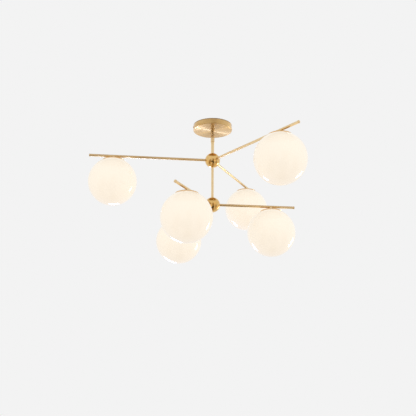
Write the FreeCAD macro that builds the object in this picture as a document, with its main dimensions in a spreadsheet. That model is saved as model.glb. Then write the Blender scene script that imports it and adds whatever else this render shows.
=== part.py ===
import FreeCAD, Part
import math
import os
import re

import Sketcher

# A ceiling light with two tiers of three level tubes, set round two ball hubs on one stem.
# Each tube carries an opal glass globe under a shallow cap near its outer end.
# Millimetres, +Z up. The origin is the centre of the canopy's rim, on the ceiling.

DOC = FreeCAD.newDocument("branch_chandelier")
SHEET = DOC.addObject("Spreadsheet::Sheet", "sizes")
FLAT = 1e-9

SIZES = (
    ("canopy_radius", 63.0, "outer radius of the canopy"),
    ("canopy_depth", 18.3, "ceiling down to the canopy's lower face"),
    ("canopy_wall", 1.2, "gauge of the spun canopy"),
    ("canopy_round", 1.8, "outer radius of the canopy's lower edge"),
    ("bar_half_length", 60.6, "centre to the outside of the crossbar's turned-down tabs"),
    ("bar_width", 16.0, "width of the crossbar's strip"),
    ("bar_gauge", 2.0, "thickness of the crossbar's strip"),
    ("bar_bend", 3.0, "outer radius of the crossbar's bends"),
    ("tab_drop", 14.0, "ceiling down to the tabs' ends"),
    ("slot_spacing", 88.9, "distance between the ceiling box's screws, 3.5 in"),
    ("slot_length", 14.0, "end-to-end length of the crossbar's slots"),
    ("slot_radius", 2.4, "half the width of the slots"),
    ("bar_hole_radius", 5.2, "middle hole of the crossbar"),
    ("side_screw_drop", 8.5, "ceiling down to the canopy's side screws"),
    ("screw_radius", 1.95, "shank of the side screws and the earth screw"),
    ("side_head_radius", 3.4, "head of a side screw"),
    ("side_head_height", 1.5, "height of a side screw's head"),
    ("earth_screw_offset", 24.0, "axis to the earth screw on the crossbar"),
    ("earth_head_radius", 3.8, "head of the earth screw"),
    ("earth_head_height", 2.4, "height of the earth screw's head"),
    ("earth_ring_radius", 4.6, "ring tag under the earth screw"),
    ("earth_ring_gauge", 0.8, "thickness of the ring tag"),
    ("fit", 0.05, "radial clearance where one piece screws or slides into another"),
    ("pin_drop", 9.0, "canopy's lower face down to the swivel's pin"),
    ("knuckle_radius", 6.2, "radius of the swivel's halves"),
    ("knuckle_step", 6.7, "pin to the step that the other half's end turns past"),
    ("lap_gap", 0.3, "space between the swivel's two lapped cheeks"),
    ("nipple_radius", 5.0, "threaded nipple of each swivel half"),
    ("nipple_length", 11.0, "length of that nipple past its shoulder"),
    ("cable_radius", 3.4, "bore through the swivel for the two cores"),
    ("pin_radius", 1.6, "swivel pin"),
    ("pin_head_radius", 2.7, "head of the swivel pin"),
    ("pin_head_depth", 1.5, "how deep the pin's head lies in its cheek"),
    ("locknut_height", 5.0, "nut that holds the swivel in the canopy"),
    ("locknut_across", 15.0, "that nut across its flats"),
    ("washer_radius", 8.5, "washer under that nut"),
    ("washer_gauge", 1.0, "thickness of that washer"),
    ("coupler_radius", 6.1, "sleeve that joins the swivel to the stem"),
    ("coupler_length", 22.0, "length of that sleeve"),
    ("upper_stem_radius", 5.0, "tube from the sleeve to the upper hub"),
    ("lower_stem_radius", 4.0, "tube from the upper hub to the lower hub"),
    ("tube_wall", 1.0, "wall of every tube"),
    ("upper_hub_drop", 121.0, "ceiling down to the upper hub's centre"),
    ("lower_hub_drop", 270.0, "ceiling down to the lower hub's centre"),
    ("hub_radius", 24.3, "outer radius of the ball hubs"),
    ("hub_hollow", 17.5, "radius of the hollow inside a hub"),
    ("hub_door_radius", 14.0, "radius of the opening under a hub, closed by its door"),
    ("hub_door_inner", 12.0, "hub's centre down to the inner face of its door"),
    ("arm_radius", 4.0, "outer radius of the arm tubes"),
    ("arm_seat", 17.0, "hub's centre to the inner end of a tube"),
    ("upper_reach", 316.0, "stem axis to a globe's axis on the upper arms"),
    ("lower_reach", 188.0, "stem axis to a globe's axis on the lower arms"),
    ("arm_overhang", 74.8, "a globe's axis to the open end of its arm"),
    ("plug_radius", 4.6, "disc that closes an arm"),
    ("plug_disc", 2.0, "thickness of that disc"),
    ("plug_depth", 8.0, "how far the plug goes into the arm"),
    ("globe_radius", 76.0, "outer radius of a glass globe, 6 in across"),
    ("globe_wall", 3.0, "thickness of the opal glass"),
    ("globe_drop", 84.7, "arm's axis down to a globe's centre"),
    ("mouth_radius", 24.5, "inside radius of a globe's neck"),
    ("neck_depth", 8.0, "depth of a globe's neck, which turns inwards"),
    ("cap_gap", 0.3, "space between a cap and its globe"),
    ("cap_gauge", 2.0, "thickness of a shade cap"),
    ("cap_radius", 34.0, "radius of a cap's rim"),
    ("collar_radius", 24.2, "threaded collar under a cap, inside the globe's neck"),
    ("collar_wall", 1.5, "wall of that collar"),
    ("post_radius", 4.5, "post between an arm and its cap"),
    ("post_top", 2.2, "arm's axis down to the top of the post's saddle"),
    ("post_thread_radius", 4.0, "threaded tail under the post"),
    ("post_thread_end", 17.8, "arm's axis down to the end of that tail"),
    ("post_spigot_radius", 2.6, "spigot that locates the post in its arm"),
    ("post_spigot_top", 1.6, "arm's axis down to the top of the spigot"),
    ("post_bore", 1.9, "bore through the post for the lead"),
    ("cap_nut_across", 13.0, "nut that clamps a cap, across its flats"),
    ("cap_nut_height", 4.0, "height of that nut"),
    ("cap_nut_gap", 0.4, "height by which the dome curves away over that nut"),
    ("socket_radius", 10.5, "porcelain bulb holder"),
    ("socket_top", 13.2, "arm's axis down to the holder's top"),
    ("socket_floor", 18.0, "arm's axis down to the floor of the holder's threaded hole"),
    ("socket_end", 33.0, "arm's axis down to the holder's lower face"),
    ("recess_length", 13.5, "recess in the holder for the bulb's base"),
    ("recess_width", 6.0, "width of that recess"),
    ("recess_depth", 6.0, "depth of that recess"),
    ("contact_spacing", 9.0, "distance between the bulb's two pins"),
    ("contact_length", 11.4, "slot above the recess for the pins"),
    ("contact_width", 2.4, "width of that slot"),
    ("contact_depth", 8.0, "depth of that slot above the recess"),
    ("bulb_radius", 8.0, "capsule bulb"),
    ("bulb_shoulder", 6.0, "radius of the capsule's flat top"),
    ("bulb_top", 33.4, "arm's axis down to the top of the capsule"),
    ("bulb_end", 76.0, "arm's axis down to the end of the capsule"),
    ("bulb_base_length", 12.0, "flat base of the bulb"),
    ("bulb_base_width", 4.4, "width of that base"),
    ("bulb_base_height", 6.0, "height of that base"),
    ("bulb_pin_radius", 0.5, "bulb's pins"),
    ("bulb_pin_length", 7.4, "length of the pins above the base"),
    ("core_radius", 0.7, "one insulated core of the wiring"),
    ("core_spread", 2.55, "stem's axis to each core where it passes the pin"),
    ("core_bend", 3.0, "bend of a core above the swivel"),
    ("core_height", 3.7, "ceiling down to a core's level run in the canopy"),
    ("lead_half_pitch", 0.8, "half the distance between the cores of a twin lead"),
    ("lead_height", 1.8, "how far above the arm's axis its lead lies"),
    ("lead_bend", 3.5, "bend of an arm's lead into its post"),
    ("wire_nut_radius", 4.8, "mouth of a wire connector in the canopy"),
    ("wire_nut_tip", 3.4, "tip radius of a wire connector"),
    ("wire_nut_length", 17.0, "length of a wire connector"),
    ("wire_nut_offset", 16.0, "stem axis to a wire connector's mouth"),
    ("wire_nut_drop", 7.5, "ceiling down to a wire connector's axis"),
    ("joint_block_flat", 8.0, "centre to a flat of the six-sided joint block in a hub"),
    ("joint_block_height", 9.0, "height of that block"),
)

# Each arm: its name, its tier and its direction about the stem.
ARMS = (
    ("left", "upper", 180.0),
    ("near_right", "upper", 300.0),
    ("far_right", "upper", 60.0),
    ("right", "lower", 0.0),
    ("near_left", "lower", 240.0),
    ("far_left", "lower", 120.0),
)

for row, (alias, value, note) in enumerate(SIZES, start=1):
    SHEET.set(f"A{row}", note)
    SHEET.set(f"B{row}", str(value))
    SHEET.setAlias(f"B{row}", alias)
for row, (arm, tier, azimuth) in enumerate(ARMS, start=len(SIZES) + 1):
    SHEET.set(f"A{row}", f"direction of the {arm} arm about the stem, degrees from +X")
    SHEET.set(f"B{row}", str(azimuth))
    SHEET.setAlias(f"B{row}", f"{arm}_azimuth")
DOC.recompute()

ALIASES = [alias for alias, _, _ in SIZES] + [f"{arm}_azimuth" for arm, _, _ in ARMS]
WORDS = re.compile(r"\b(" + "|".join(sorted(ALIASES, key=len, reverse=True)) + r")\b")

# Levels that several pieces share, below the ceiling, and places on a light's own axis.
PIN_LEVEL = "(canopy_depth + pin_drop)"
SHOULDER_LEVEL = "(canopy_depth + 2 * pin_drop)"
NIPPLE_TOP = "(canopy_depth - nipple_length)"
STEM_TOP = "(canopy_depth + 2 * pin_drop + nipple_length)"
CAP_TOP = "(globe_drop - globe_radius - cap_gap - cap_gauge)"
NUT_TOP = "(globe_drop - globe_radius - cap_gap + cap_nut_gap)"
RECESS_CEILING = "(socket_end - recess_depth)"

nodes = []


def bound(expression):
    """The expression as the document reads it, with every size taken from the sheet."""
    return WORDS.sub(r"sizes.\1", expression)


def size(expression):
    """The value that an expression of the sheet's sizes has now."""
    return float(SHEET.evalExpression(expression))


def node(piece, label):
    """Names a piece, so that it is written to a file of its own."""
    piece.Label = label
    nodes.append(piece)
    return piece


def new_body(name):
    return DOC.addObject("PartDesign::Body", name)


def origin_part(body, role):
    return next(part for part in body.Origin.OriginFeatures if part.Role == role)


def new_sketch(body, role, offset="0"):
    """An empty sketch on one of the body's own planes, moved along the plane's normal."""
    sketch = body.newObject("Sketcher::SketchObject", "sketch")
    sketch.AttachmentSupport = (origin_part(body, role), [""])
    sketch.MapMode = "FlatFace"
    sketch.setExpression("AttachmentOffset.Base.z", bound(offset))
    return sketch


def fix(sketch, edge, point, x, y):
    """Fixes a point of a sketch's edge at (x, y), either of which may be left free as None."""
    for kind, axis, expression in (("DistanceX", -2, x), ("DistanceY", -1, y)):
        if expression is None:
            continue
        value = size(expression)
        if abs(value) < FLAT:
            sketch.addConstraint(Sketcher.Constraint("PointOnObject", edge, point, axis))
        else:
            rule = Sketcher.Constraint(kind, -1, 1, edge, point, value)
            index = sketch.addConstraint(rule)
            sketch.setExpression(f"Constraints[{index}]", bound(expression))


def circle(sketch, radius, x="0", y="0"):
    """A circle whose centre and radius follow the sheet."""
    centre = FreeCAD.Vector(size(x), size(y), 0)
    edge = sketch.addGeometry(Part.Circle(centre, FreeCAD.Vector(0, 0, 1), size(radius)), False)
    fix(sketch, edge, 3, x, y)
    index = sketch.addConstraint(Sketcher.Constraint("Radius", edge, size(radius)))
    sketch.setExpression(f"Constraints[{index}]", bound(radius))


def chain(sketch, corners, arcs=None, closed=True):
    """Joins corners by straight edges, or by an arc where arcs gives an edge's centre and turn.

    The corner at an arc's end is fixed in one direction only: the arc's radius sets the other."""
    arcs = arcs or {}
    points = [FreeCAD.Vector(size(x), size(y), 0) for x, y in corners]
    count = len(corners)
    edge_count = count if closed else count - 1
    ends = []
    for index in range(edge_count):
        start, stop = points[index], points[(index + 1) % count]
        if index not in arcs:
            edge = sketch.addGeometry(Part.LineSegment(start, stop), False)
            ends.append((edge, 1, 2))
            continue
        x, y, turn = arcs[index]
        centre = FreeCAD.Vector(size(x), size(y), 0)
        first, last = (start - centre, stop - centre)
        if turn == "right":
            first, last = last, first
        ring = Part.Circle(centre, FreeCAD.Vector(0, 0, 1), first.Length)
        sweep = (math.atan2(first.y, first.x), math.atan2(last.y, last.x))
        edge = sketch.addGeometry(Part.ArcOfCircle(ring, *sweep), False)
        fix(sketch, edge, 3, x, y)
        ends.append((edge, 1, 2) if turn == "left" else (edge, 2, 1))
    for index in range(count):
        x, y = corners[index]
        before = (index - 1) % count
        if before in arcs and (closed or index > 0):
            reach = points[index] - FreeCAD.Vector(*map(size, arcs[before][:2]), 0)
            x, y = (None, y) if abs(reach.x) > abs(reach.y) else (x, None)
        if index < edge_count:
            fix(sketch, ends[index][0], ends[index][1], x, y)
        else:
            fix(sketch, ends[index - 1][0], ends[index - 1][2], x, y)
        if index < edge_count and (closed or index > 0):
            joint = (ends[before][0], ends[before][2], ends[index][0], ends[index][1])
            sketch.addConstraint(Sketcher.Constraint("Coincident", *joint))


def rectangle(sketch, left, bottom, right, top):
    chain(sketch, ((left, bottom), (right, bottom), (right, top), (left, top)))


def turned(name, corners, arcs=None, axis="V_Axis", role="XZ_Plane"):
    """A piece turned on a lathe: its half section goes once round an axis of the sketch."""
    body = new_body(name)
    sketch = new_sketch(body, role)
    chain(sketch, corners, arcs)
    feature = body.newObject("PartDesign::Revolution", "turning")
    feature.Profile = sketch
    feature.ReferenceAxis = (sketch, [axis])
    feature.Angle = 360
    return body


def pad(body, sketch, length, along_normal=True, both_ways=False):
    feature = body.newObject("PartDesign::Pad", "pad")
    feature.Profile = sketch
    feature.setExpression("Length", bound(length))
    feature.Reversed = not along_normal
    feature.SideType = "Symmetric" if both_ways else "One side"
    return feature


def cut(body, sketch, length=None, along_normal=False, both_ways=False):
    """A pocket as deep as length, or right through where no length is given."""
    feature = body.newObject("PartDesign::Pocket", "pocket")
    feature.Profile = sketch
    feature.Reversed = along_normal
    feature.SideType = "Symmetric" if both_ways else "One side"
    if length is None:
        feature.Type = "ThroughAll"
    else:
        feature.Type = "Length"
        feature.setExpression("Length", bound(length))
    return feature


def rod(body, radius, start, length, up=True):
    """Adds a round bar along Z from the level start."""
    sketch = new_sketch(body, "XY_Plane", start)
    circle(sketch, radius)
    pad(body, sketch, length, along_normal=up)


def stand(piece, x="0", y="0", z="0", turn="0"):
    """Places a piece, turned about Z by an angle in degrees."""
    piece.Placement = FreeCAD.Placement(FreeCAD.Vector(), FreeCAD.Rotation(FreeCAD.Vector(0, 0, 1), 1))
    for direction, expression in (("x", x), ("y", y), ("z", z)):
        piece.setExpression(f"Placement.Base.{direction}", bound(expression))
    piece.setExpression("Placement.Rotation.Angle", bound(turn))
    return piece


def place_on_hub(piece, arm, tier):
    """Puts a piece drawn from its hub's centre along +X onto that arm."""
    return stand(piece, z=f"-{tier}_hub_drop", turn=f"{arm}_azimuth")


def place_on_light(piece, arm, tier, along_arm=True):
    """Puts a piece drawn about a light's own axis under that arm, turned to it or square to +X."""
    x = f"{tier}_reach * cos({arm}_azimuth)"
    y = f"{tier}_reach * sin({arm}_azimuth)"
    turn = f"{arm}_azimuth" if along_arm else "0"
    return stand(piece, x=x, y=y, z=f"-{tier}_hub_drop", turn=turn)


def group(label, pieces):
    """Several like solids kept as one node."""
    compound = DOC.addObject("Part::Compound", label)
    compound.Links = pieces
    return node(compound, label)


def tube(name, radius, bottom, top):
    """A straight tube along Z with the common wall."""
    body = new_body(name)
    sketch = new_sketch(body, "XY_Plane", bottom)
    circle(sketch, radius)
    circle(sketch, f"{radius} - tube_wall")
    pad(body, sketch, f"({top}) - ({bottom})")
    return node(body, name)


def hex_nut(name, across, bore, height):
    """A six-sided nut with its upper face at its own origin."""
    prism = DOC.addObject("Part::Prism", f"{name}_blank")
    prism.Polygon = 6
    prism.setExpression("Circumradius", bound(f"{across} / 2 / cos(30)"))
    prism.setExpression("Height", bound(height))
    prism.setExpression("Placement.Base.z", bound(f"-{height}"))
    hole = DOC.addObject("Part::Cylinder", f"{name}_hole")
    hole.setExpression("Radius", bound(bore))
    hole.setExpression("Height", bound(f"3 * {height}"))
    hole.setExpression("Placement.Base.z", bound(f"-2 * {height}"))
    nut = DOC.addObject("Part::Cut", name)
    nut.Base = prism
    nut.Tool = hole
    return nut


def twin_outline(sketch, height="0"):
    """The section of a twin lead: two cores side by side in one flat sheath."""
    low, high = f"{height} - core_radius", f"{height} + core_radius"
    left, right = "-lead_half_pitch", "lead_half_pitch"
    corners = ((left, low), (right, low), (right, high), (left, high))
    chain(sketch, corners, {1: (right, height, "left"), 3: (left, height, "left")})


# ------------------------------------------------------------------ ceiling side


def make_crossbar():
    """Steel strip with turned-down ends, slotted for the two screws of a ceiling box."""
    body = new_body("mounting_crossbar")
    bend = "(bar_half_length - bar_bend)"
    inner = "(bar_half_length - bar_gauge)"
    corners = (
        ("-bar_half_length", "-tab_drop"),
        ("-bar_half_length", "-bar_bend"),
        (f"-{bend}", "0"),
        (bend, "0"),
        ("bar_half_length", "-bar_bend"),
        ("bar_half_length", "-tab_drop"),
        (inner, "-tab_drop"),
        (inner, "-bar_bend"),
        (bend, "-bar_gauge"),
        (f"-{bend}", "-bar_gauge"),
        (f"-{inner}", "-bar_bend"),
        (f"-{inner}", "-tab_drop"),
    )
    arcs = {
        1: (f"-{bend}", "-bar_bend", "right"),
        3: (bend, "-bar_bend", "right"),
        7: (bend, "-bar_bend", "left"),
        9: (f"-{bend}", "-bar_bend", "left"),
    }
    strip = new_sketch(body, "XZ_Plane")
    chain(strip, corners, arcs)
    pad(body, strip, "bar_width", both_ways=True)
    holes = new_sketch(body, "XY_Plane")
    circle(holes, "bar_hole_radius")
    circle(holes, "screw_radius + fit", "earth_screw_offset")
    for side in ("", "-"):
        near = f"{side}(slot_spacing / 2) - (slot_length / 2 - slot_radius)"
        far = f"{side}(slot_spacing / 2) + (slot_length / 2 - slot_radius)"
        slot = ((near, "-slot_radius"), (far, "-slot_radius"), (far, "slot_radius"), (near, "slot_radius"))
        chain(holes, slot, {1: (far, "0", "left"), 3: (near, "0", "left")})
    cut(body, holes)
    tapped = new_sketch(body, "YZ_Plane")
    circle(tapped, "screw_radius + fit", y="-side_screw_drop")
    cut(body, tapped, both_ways=True)
    return node(body, "mounting_crossbar")


def make_canopy():
    """Spun brass dish that covers the ceiling box, open at the top, with a hole for the swivel."""
    hole = "nipple_radius + fit"
    lip = "(canopy_radius - canopy_round)"
    bend = "(canopy_round - canopy_depth)"
    corners = (
        (hole, "-canopy_depth"),
        (lip, "-canopy_depth"),
        ("canopy_radius", bend),
        ("canopy_radius", "0"),
        ("canopy_radius - canopy_wall", "0"),
        ("canopy_radius - canopy_wall", bend),
        (lip, "canopy_wall - canopy_depth"),
        (hole, "canopy_wall - canopy_depth"),
    )
    body = turned("canopy", corners, {1: (lip, bend, "left"), 5: (lip, bend, "right")})
    holes = new_sketch(body, "YZ_Plane")
    circle(holes, "screw_radius + 4 * fit", y="-side_screw_drop")
    cut(body, holes, both_ways=True)
    return node(body, "canopy")


def make_side_screw(turn):
    """Low-headed screw through the canopy's side into a tab of the crossbar."""
    head = "canopy_radius"
    crown = "(canopy_radius + side_head_height)"
    corners = (
        ("bar_half_length - 2 * bar_gauge", "0"),
        (crown, "0"),
        (crown, "side_head_radius / 2"),
        (f"{crown} - side_head_height / 2", "side_head_radius"),
        (head, "side_head_radius"),
        (head, "screw_radius"),
        ("bar_half_length - 2 * bar_gauge", "screw_radius"),
    )
    screw = turned("canopy_side_screw", corners, axis="H_Axis")
    return stand(screw, z="-side_screw_drop", turn=turn)


def make_earth_screw():
    """Screw under the crossbar that clamps the earth lead's ring tag."""
    seat = "(bar_gauge + earth_ring_gauge)"
    corners = (
        ("0", "0"),
        ("screw_radius", "0"),
        ("screw_radius", f"-{seat}"),
        ("earth_head_radius", f"-{seat}"),
        ("earth_head_radius", f"-{seat} - earth_head_height"),
        ("0", f"-{seat} - earth_head_height"),
    )
    return stand(node(turned("earth_screw", corners), "earth_screw"), x="earth_screw_offset")


def make_core(turn):
    """One insulated core from the top of the swivel's nipple to its wire connector."""
    body = new_body("canopy_core")
    bend_level = "(-core_height - core_bend)"
    route = new_sketch(body, "YZ_Plane")
    corners = (
        ("core_spread", f"-{NIPPLE_TOP}"),
        ("core_spread", bend_level),
        ("core_spread + core_bend", "-core_height"),
        ("wire_nut_offset", "-core_height"),
    )
    chain(route, corners, {1: ("core_spread + core_bend", bend_level, "right")}, closed=False)
    section = new_sketch(body, "XY_Plane", f"-{NIPPLE_TOP}")
    circle(section, "core_radius", y="core_spread")
    pipe = body.newObject("PartDesign::AdditivePipe", "core")
    pipe.Profile = section
    pipe.Spine = (route, ["Edge1", "Edge2", "Edge3"])
    return stand(body, turn=turn)


def make_earth_lead():
    """Ring tag under the earth screw and the lead from it to the nut of the swivel."""
    body = new_body("earth_lead")
    tag = new_sketch(body, "XY_Plane", "-bar_gauge")
    circle(tag, "earth_ring_radius", "earth_screw_offset")
    circle(tag, "screw_radius + fit", "earth_screw_offset")
    pad(body, tag, "earth_ring_gauge", along_normal=False)
    level = "(-bar_gauge - core_radius - fit)"
    start = "(earth_screw_offset - earth_ring_radius + 4 * fit)"
    foot = "(locknut_across / 2 - core_radius - 10 * fit)"
    route = new_sketch(body, "XZ_Plane")
    corners = (
        (start, level),
        (f"{foot} + core_bend", level),
        (foot, f"{level} - core_bend"),
        (foot, "locknut_height + washer_gauge + canopy_wall - canopy_depth"),
    )
    chain(route, corners, {1: (f"{foot} + core_bend", f"{level} - core_bend", "left")}, closed=False)
    section = new_sketch(body, "YZ_Plane", start)
    circle(section, "core_radius", y=level)
    pipe = body.newObject("PartDesign::AdditivePipe", "lead")
    pipe.Profile = section
    pipe.Spine = (route, ["Edge1", "Edge2", "Edge3"])
    return body


def make_wire_nut(side):
    """Moulded cone that is twisted over a joint between a core and the house wiring."""
    corners = (
        ("0", "0"),
        ("wire_nut_radius", "0"),
        ("wire_nut_radius", "wire_nut_length / 3"),
        ("wire_nut_tip", "wire_nut_length"),
        ("0", "wire_nut_length"),
    )
    body = turned("wire_nut", corners)
    body.Placement = FreeCAD.Placement(
        FreeCAD.Vector(0, side * size("wire_nut_offset"), -size("wire_nut_drop")),
        FreeCAD.Rotation(FreeCAD.Vector(1, 0, 0), -90 * side),
    )
    return body


# ------------------------------------------------------------------ hang-straight swivel


def make_knuckle(label, pin_clearance):
    """Half of the swivel, drawn about the pin's centre: a nipple on +Z and a cheek on +X."""
    body = new_body(label)
    rod(body, "knuckle_radius", "pin_drop", "pin_drop + knuckle_radius", up=False)
    lap = new_sketch(body, "XZ_Plane")
    rectangle(lap, "-2 * knuckle_radius", "-2 * knuckle_radius", "lap_gap / 2", "knuckle_step")
    cut(body, lap, both_ways=True)
    nose = new_sketch(body, "YZ_Plane")
    corners = (
        ("-2 * knuckle_radius", "0"),
        ("-knuckle_radius", "0"),
        ("knuckle_radius", "0"),
        ("2 * knuckle_radius", "0"),
        ("2 * knuckle_radius", "-2 * knuckle_radius"),
        ("-2 * knuckle_radius", "-2 * knuckle_radius"),
    )
    chain(nose, corners, {1: ("0", "0", "left")})
    cut(body, nose, both_ways=True)
    rod(body, "nipple_radius", "pin_drop", "nipple_length")
    bore = new_sketch(body, "XY_Plane")
    circle(bore, "cable_radius")
    cut(body, bore, both_ways=True)
    hole = new_sketch(body, "YZ_Plane")
    circle(hole, f"pin_radius + {pin_clearance}")
    cut(body, hole, both_ways=True)
    return node(body, label)


def make_swivel_bottom():
    """The lower half: the upper one turned over, with a recess for the pin's head."""
    body = make_knuckle("swivel_bottom", "fit")
    recess = new_sketch(body, "YZ_Plane", "knuckle_radius - pin_head_depth")
    circle(recess, "pin_head_radius + 4 * fit")
    cut(body, recess, along_normal=True)
    body.Placement = FreeCAD.Placement(
        FreeCAD.Vector(0, 0, -size(PIN_LEVEL)), FreeCAD.Rotation(FreeCAD.Vector(0, 1, 0), 180)
    )
    return body


def make_pin():
    """Shouldered screw through both cheeks. The frame swings on it."""
    seat = "(pin_head_depth - knuckle_radius)"
    corners = (
        ("-knuckle_radius + fit", "0"),
        ("-knuckle_radius + fit", "pin_head_radius"),
        (seat, "pin_head_radius"),
        (seat, "pin_radius"),
        ("knuckle_radius - 4 * fit", "pin_radius"),
        ("knuckle_radius - 4 * fit", "0"),
    )
    body = turned("swivel_pin", corners, axis="H_Axis")
    slot = new_sketch(body, "XZ_Plane")
    rectangle(slot, "-2 * knuckle_radius", "-pin_radius / 4", "pin_head_depth / 2 - knuckle_radius", "pin_radius / 4")
    cut(body, slot, both_ways=True)
    return stand(node(body, "swivel_pin"), z=f"-{PIN_LEVEL}")


def make_swivel_washer():
    body = new_body("swivel_washer")
    sketch = new_sketch(body, "XY_Plane", "canopy_wall - canopy_depth")
    circle(sketch, "washer_radius")
    circle(sketch, "nipple_radius + fit")
    pad(body, sketch, "washer_gauge")
    return node(body, "swivel_washer")


def make_straight_core(side, bottom, top):
    """A core that runs straight down beside the stem's axis."""
    core = DOC.addObject("Part::Cylinder", "straight_core")
    core.setExpression("Radius", bound("core_radius"))
    core.setExpression("Height", bound(f"({top}) - ({bottom})"))
    core.setExpression("Placement.Base.y", bound(f"{side} * core_spread"))
    core.setExpression("Placement.Base.z", bound(bottom))
    return core


# ------------------------------------------------------------------ stem and hubs


def make_coupler():
    """Sleeve that joins the swivel's lower nipple to the threaded top of the stem."""
    inner, edge = "nipple_radius + fit", "4 * fit"
    bottom = f"-{SHOULDER_LEVEL} - coupler_length"
    corners = (
        (inner, f"-{SHOULDER_LEVEL}"),
        (inner, bottom),
        (f"coupler_radius - {edge}", bottom),
        ("coupler_radius", f"{bottom} + {edge}"),
        ("coupler_radius", f"-{SHOULDER_LEVEL} - {edge}"),
        (f"coupler_radius - {edge}", f"-{SHOULDER_LEVEL}"),
    )
    return node(turned("stem_coupler", corners), "stem_coupler")


def make_hub(label, tier, stem_radius, first_arm):
    """Hollow brass ball with three holes round it, one on top, and an opening underneath."""
    hole = f"{stem_radius} + fit"
    outer_top = f"sqrt(hub_radius ^ 2 - ({hole}) ^ 2)"
    inner_top = f"sqrt(hub_hollow ^ 2 - ({hole}) ^ 2)"
    corners = (
        (hole, outer_top),
        ("hub_door_radius", "-sqrt(hub_radius ^ 2 - hub_door_radius ^ 2)"),
        ("hub_door_radius", "-sqrt(hub_hollow ^ 2 - hub_door_radius ^ 2)"),
        (hole, inner_top),
    )
    body = turned(label, corners, {0: ("0", "0", "right"), 2: ("0", "0", "left")})
    hole_sketch = new_sketch(body, "YZ_Plane")
    circle(hole_sketch, "arm_radius + fit")
    first = cut(body, hole_sketch, along_normal=True)
    DOC.recompute()
    round_the_stem = body.newObject("PartDesign::PolarPattern", "arm_holes")
    round_the_stem.Originals = [first]
    round_the_stem.Axis = (origin_part(body, "Z_Axis"), [""])
    round_the_stem.Angle = 360
    round_the_stem.Occurrences = 3
    body.Tip = round_the_stem
    return place_on_hub(node(body, label), first_arm, tier)


def make_hub_door(label, tier, hole=None):
    """Screw-in door that closes a hub from below and carries on the ball's curve."""
    rim = "hub_door_radius - fit"
    rim_level = f"-sqrt(hub_radius ^ 2 - ({rim}) ^ 2)"
    middle = f"({hole})" if hole else "0"
    low = f"-sqrt(hub_radius ^ 2 - {middle} ^ 2)"
    corners = ((middle, low), (rim, rim_level), (rim, "-hub_door_inner"), (middle, "-hub_door_inner"))
    body = turned(label, corners, {0: ("0", "0", "left")})
    return stand(node(body, label), z=f"-{tier}_hub_drop")


def make_joint_block(tier):
    """Six-sided block in a hub's hollow, in which the leads of its arms meet the stem's."""
    block = DOC.addObject("Part::Prism", f"{tier}_joint_block")
    block.Polygon = 6
    block.setExpression("Circumradius", bound("joint_block_flat / cos(30)"))
    block.setExpression("Height", bound("joint_block_height"))
    return stand(block, z=f"-{tier}_hub_drop - joint_block_height / 2", turn="30")


def make_lower_stem_lead():
    body = new_body("lower_stem_lead")
    sketch = new_sketch(body, "XY_Plane", "joint_block_height / 2 - lower_hub_drop")
    twin_outline(sketch)
    pad(body, sketch, "lower_hub_drop - upper_hub_drop - joint_block_height")
    return body


# ------------------------------------------------------------------ one arm and its light


def make_arm(arm, tier):
    """Brass tube from its hub past its globe, drilled from below for the post."""
    label = f"arm_{arm}"
    body = new_body(label)
    section = new_sketch(body, "YZ_Plane", "arm_seat")
    circle(section, "arm_radius")
    circle(section, "arm_radius - tube_wall")
    pad(body, section, f"{tier}_reach + arm_overhang - arm_seat")
    drilled = new_sketch(body, "XY_Plane")
    circle(drilled, "post_spigot_radius + fit", f"{tier}_reach")
    cut(body, drilled)
    place_on_hub(node(body, label), arm, tier)


def make_arm_plug(arm, tier):
    """Turned disc with a spigot that closes the open end of an arm."""
    end = "(arm_overhang + plug_disc)"
    corners = (
        ("arm_overhang - plug_depth", "0"),
        (end, "0"),
        (end, "plug_radius - plug_disc / 4"),
        (f"{end} - plug_disc / 4", "plug_radius"),
        ("arm_overhang", "plug_radius"),
        ("arm_overhang", "arm_radius - tube_wall - fit"),
        ("arm_overhang - plug_depth", "arm_radius - tube_wall - fit"),
    )
    return place_on_light(turned("arm_plug", corners, axis="H_Axis"), arm, tier)


def make_post(arm, tier):
    """Hollow post that saddles the arm and carries the cap and the bulb holder on its thread."""
    body = new_body("cap_post")
    rod(body, "post_radius", f"-{CAP_TOP}", f"{CAP_TOP} - post_top")
    saddle = new_sketch(body, "YZ_Plane")
    circle(saddle, "arm_radius + fit")
    cut(body, saddle, both_ways=True)
    rod(body, "post_thread_radius", f"-{CAP_TOP}", f"post_thread_end - {CAP_TOP}", up=False)
    rod(body, "post_spigot_radius", f"-{CAP_TOP}", f"{CAP_TOP} - post_spigot_top")
    bore = new_sketch(body, "XY_Plane")
    circle(bore, "post_bore")
    cut(body, bore, both_ways=True)
    return place_on_light(body, arm, tier)


def globe_level(radius, ball):
    """Height, at a distance from a light's axis, of a ball about its globe's centre."""
    return f"sqrt({ball} ^ 2 - {radius} ^ 2) - globe_drop"


def make_cap(arm, tier):
    """Spun brass dome that hugs the globe's crown, with a hole for the post's threaded tail."""
    label = f"shade_cap_{arm}"
    outer, inner = "(globe_radius + cap_gap + cap_gauge)", "(globe_radius + cap_gap)"
    hole = "(post_thread_radius + 2 * fit)"
    corners = (
        (hole, globe_level(hole, outer)),
        ("cap_radius", globe_level("cap_radius", outer)),
        ("cap_radius", globe_level("cap_radius", inner)),
        (hole, globe_level(hole, inner)),
    )
    arcs = {0: ("0", "-globe_drop", "right"), 2: ("0", "-globe_drop", "left")}
    place_on_light(node(turned(label, corners, arcs), label), arm, tier)


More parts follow.
